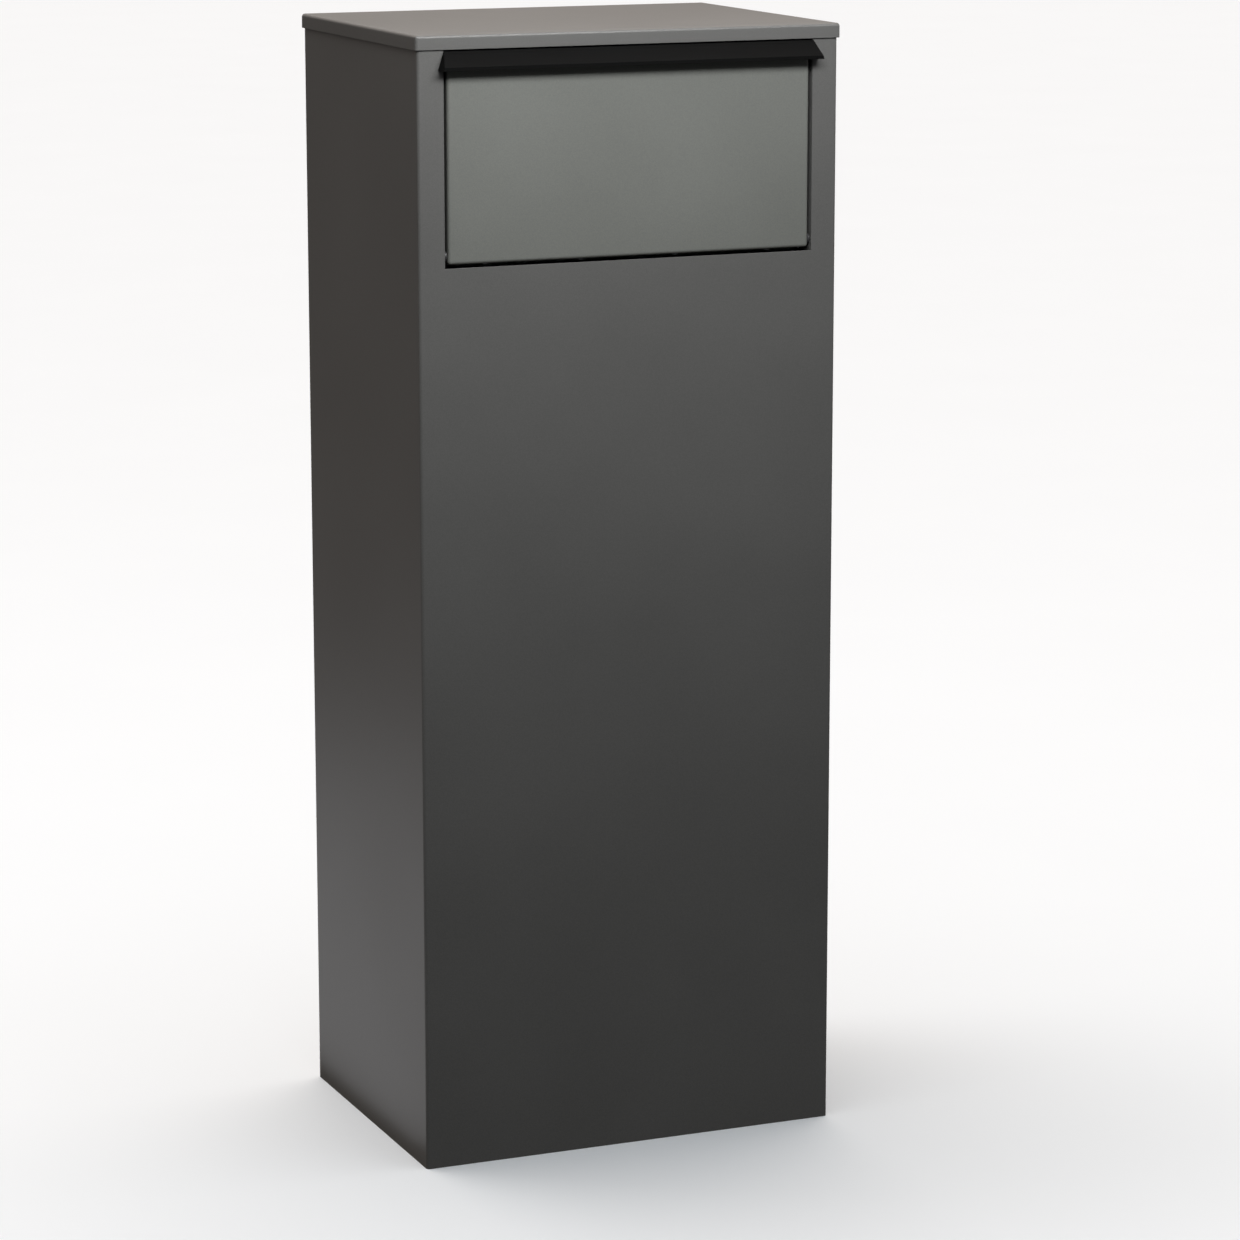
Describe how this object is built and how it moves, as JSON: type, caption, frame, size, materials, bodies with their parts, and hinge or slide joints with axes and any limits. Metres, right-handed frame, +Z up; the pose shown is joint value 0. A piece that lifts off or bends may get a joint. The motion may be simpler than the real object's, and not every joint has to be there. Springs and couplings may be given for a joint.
{
  "type": "parcel drop box",
  "caption": "Tall free-standing steel parcel box with a flat cap, a tip-out hatch with a black grip strip over a drop tray, and a locked collection door at the back.",
  "frame": {"origin": "on the floor, at the middle of the body's width and depth, on the underside of the floor pan", "axes": "+Z up; the front with the hatch faces -Y; +X is to the right of someone facing the front"},
  "size_m": [0.404, 0.3166, 1.02],
  "materials": {
    "powder_coat": "satin fine-textured metallic anthracite powder coat on sheet steel",
    "grip_black": "black satin extruded strip",
    "galvanised_sheet": "plain galvanised sheet steel",
    "zinc_plated": "bright zinc-plated steel fixings",
    "lock_chrome": "polished chrome-plated die-cast zinc",
    "rubber": "black rubber and closed-cell foam",
    "nylon": "black nylon"
  },
  "bodies": {
    "cabinet": {"anchor_plug_front_left": "rubber", "anchor_plug_front_right": "rubber", "anchor_plug_rear_left": "rubber", "anchor_plug_rear_right": "rubber", "anti_theft_baffle": "galvanised_sheet", "body_shell": "powder_coat", "cap_nut_front_left": "zinc_plated", "cap_nut_front_right": "zinc_plated", "cap_nut_rear_left": "zinc_plated", "cap_nut_rear_right": "zinc_plated", "door_pin_bottom": "zinc_plated", "door_pin_top": "zinc_plated", "door_seal_bottom": "rubber", "door_seal_top": "rubber", "floor_mat": "rubber", "floor_pan": "galvanised_sheet", "hatch_jamb_left": "powder_coat", "hatch_jamb_right": "powder_coat", "hatch_pivot_left": "zinc_plated", "hatch_pivot_right": "zinc_plated", "hatch_seal": "rubber", "header_rail": "powder_coat", "lock_strike": "zinc_plated", "pivot_washer_left": "nylon", "pivot_washer_right": "nylon", "rear_bottom_rail": "powder_coat", "rear_top_rail": "powder_coat", "sill_rail": "powder_coat", "strike_rivet_1": "zinc_plated", "strike_rivet_2": "zinc_plated", "top_cap": "powder_coat"},
    "hatch": {"chute_tray": "galvanised_sheet", "grip_screw_left": "zinc_plated", "grip_screw_middle": "zinc_plated", "grip_screw_right": "zinc_plated", "grip_strip": "grip_black", "hatch_cheek_left": "galvanised_sheet", "hatch_cheek_right": "galvanised_sheet", "hatch_flap": "powder_coat", "stop_buffer_left": "rubber", "stop_buffer_right": "rubber", "tray_rivet_1": "zinc_plated", "tray_rivet_2": "zinc_plated", "tray_rivet_3": "zinc_plated", "tray_rivet_4": "zinc_plated"},
    "rear_door": {"door_bush_bottom": "nylon", "door_bush_top": "nylon", "door_panel": "powder_coat", "door_stiffener_lower": "galvanised_sheet", "door_stiffener_upper": "galvanised_sheet", "lock_housing": "lock_chrome", "lock_nut": "zinc_plated"},
    "lock_core": {"cam_screw": "zinc_plated", "lock_cam": "zinc_plated", "lock_plug": "lock_chrome"}
  },
  "joints": [
    {"name": "hatch_tilt", "type": "hinge", "parent": "cabinet", "child": "hatch", "pos_m": [0, -0.143, 0.8275], "axis": [1, 0, 0], "range_deg": [0, 52]},
    {"name": "rear_door_swing", "type": "hinge", "parent": "cabinet", "child": "rear_door", "pos_m": [-0.1635, 0.143, 0.51], "axis": [0, 0, 1], "range_deg": [0, 105]},
    {"name": "lock_turn", "type": "hinge", "parent": "rear_door", "child": "lock_core", "pos_m": [0.15, 0.14, 0.51], "axis": [0, -1, 0], "range_deg": [0, 90]}
  ]
}
